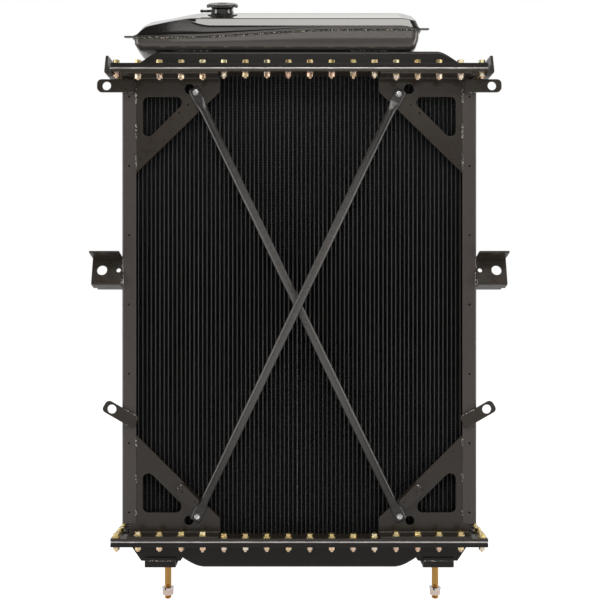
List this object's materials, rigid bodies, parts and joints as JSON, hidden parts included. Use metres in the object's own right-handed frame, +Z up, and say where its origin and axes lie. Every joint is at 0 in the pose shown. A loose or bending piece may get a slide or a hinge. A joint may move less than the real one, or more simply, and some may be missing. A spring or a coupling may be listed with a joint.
{
  "type": "truck radiator",
  "caption": "Tall truck radiator with a bolted tube-and-fin core, steel side frame, crossed braces, foot studs, mounting tabs and a pressed surge tank with a pressure cap on top.",
  "frame": {"origin": "midway between the two foot pads, on the plane of their undersides and the core's middle plane", "axes": "+X to the right seen from the front, +Y to the rear, +Z up"},
  "size_m": [0.992, 0.239, 1.4689],
  "materials": {
    "frame_paint": "semi-gloss black",
    "tank_paint": "satin black",
    "surge_paint": "gloss black",
    "header_metal": "tinned",
    "core_black": "matte black coating",
    "gasket_rubber": "matte",
    "silver_zinc": "bright zinc",
    "yellow_zinc": "yellow zinc plating",
    "cap_coating": "gloss black",
    "brass": "machined",
    "spring_steel": "drawn wire"
  },
  "bodies": {
    "radiator": {"bottom_backing_ring": "frame_paint", "bottom_gasket": "gasket_rubber", "bottom_tank_flange": "tank_paint", "bottom_tank_shell": "tank_paint", "brace_bolt_bottom_left": "silver_zinc", "brace_bolt_bottom_right": "silver_zinc", "brace_bolt_top_left": "silver_zinc", "brace_bolt_top_right": "silver_zinc", "brace_front": "frame_paint", "brace_nut_bottom_left": "silver_zinc", "brace_nut_bottom_right": "silver_zinc", "brace_nut_top_left": "silver_zinc", "brace_nut_top_right": "silver_zinc", "brace_rear": "frame_paint", "core_tubes": "header_metal", "drain_cock_body": "brass", "end_plate_left": "frame_paint", "end_plate_right": "frame_paint", "filler_neck": "surge_paint", "fin_block": "core_black", "foot_bracket_left": "frame_paint", "foot_bracket_right": "frame_paint", "foot_stud_left": "yellow_zinc", "foot_stud_right": "yellow_zinc", "gusset_bottom_left": "frame_paint", "gusset_bottom_right": "frame_paint", "gusset_top_left": "frame_paint", "gusset_top_right": "frame_paint", "inlet_neck": "tank_paint", "lower_clip_left": "frame_paint", "lower_clip_right": "frame_paint", "lower_mount_tab_left": "frame_paint", "lower_mount_tab_right": "frame_paint", "make_up_nipple": "surge_paint", "outlet_neck": "tank_paint", "overflow_nipple": "surge_paint", "side_bracket_left": "frame_paint", "side_bracket_right": "frame_paint", "side_channel_left": "frame_paint", "side_channel_right": "frame_paint", "stud_nut_left": "yellow_zinc", "stud_nut_right": "yellow_zinc", "stud_washer_left": "silver_zinc", "stud_washer_right": "silver_zinc", "surge_saddle_left": "frame_paint", "surge_saddle_right": "frame_paint", "surge_tank_lower": "surge_paint", "surge_tank_upper": "surge_paint", "tank_vent_nipple": "tank_paint", "top_backing_ring": "frame_paint", "top_gasket": "gasket_rubber", "top_mount_tab_left": "frame_paint", "top_mount_tab_right": "frame_paint", "top_tank_flange": "tank_paint", "top_tank_shell": "tank_paint"},
    "cap": {"cap_shell": "cap_coating", "cap_spring": "spring_steel"},
    "pressure_valve": {"cap_pressure_valve": "brass"},
    "vacuum_valve": {"cap_vacuum_valve": "brass"},
    "drain_handle": {"drain_cock_handle": "brass"}
  },
  "joints": [
    {"name": "cap_turn", "type": "hinge", "parent": "radiator", "child": "cap", "pos_m": [-0.1888, 0.00116, 1.35748], "axis": [0, -0.4018, 0.9157], "range_deg": [0, 90]},
    {"name": "pressure_valve_lift", "type": "slide", "parent": "cap", "child": "pressure_valve", "axis": [0, -0.4018, 0.9157], "range_m": [0, 0.004], "stiffness_N_per_m": 6000, "springref_m": -0.012, "deforming": ["cap_spring"]},
    {"name": "vacuum_valve_drop", "type": "slide", "parent": "pressure_valve", "child": "vacuum_valve", "axis": [0, 0.4018, -0.9157], "range_m": [0, 0.002], "stiffness_N_per_m": 100, "springref_m": -0.003},
    {"name": "drain_cock_turn", "type": "hinge", "parent": "radiator", "child": "drain_handle", "pos_m": [-0.1524, 0.075, 0.02], "axis": [0, 1, 0], "range_deg": [0, 90]}
  ]
}
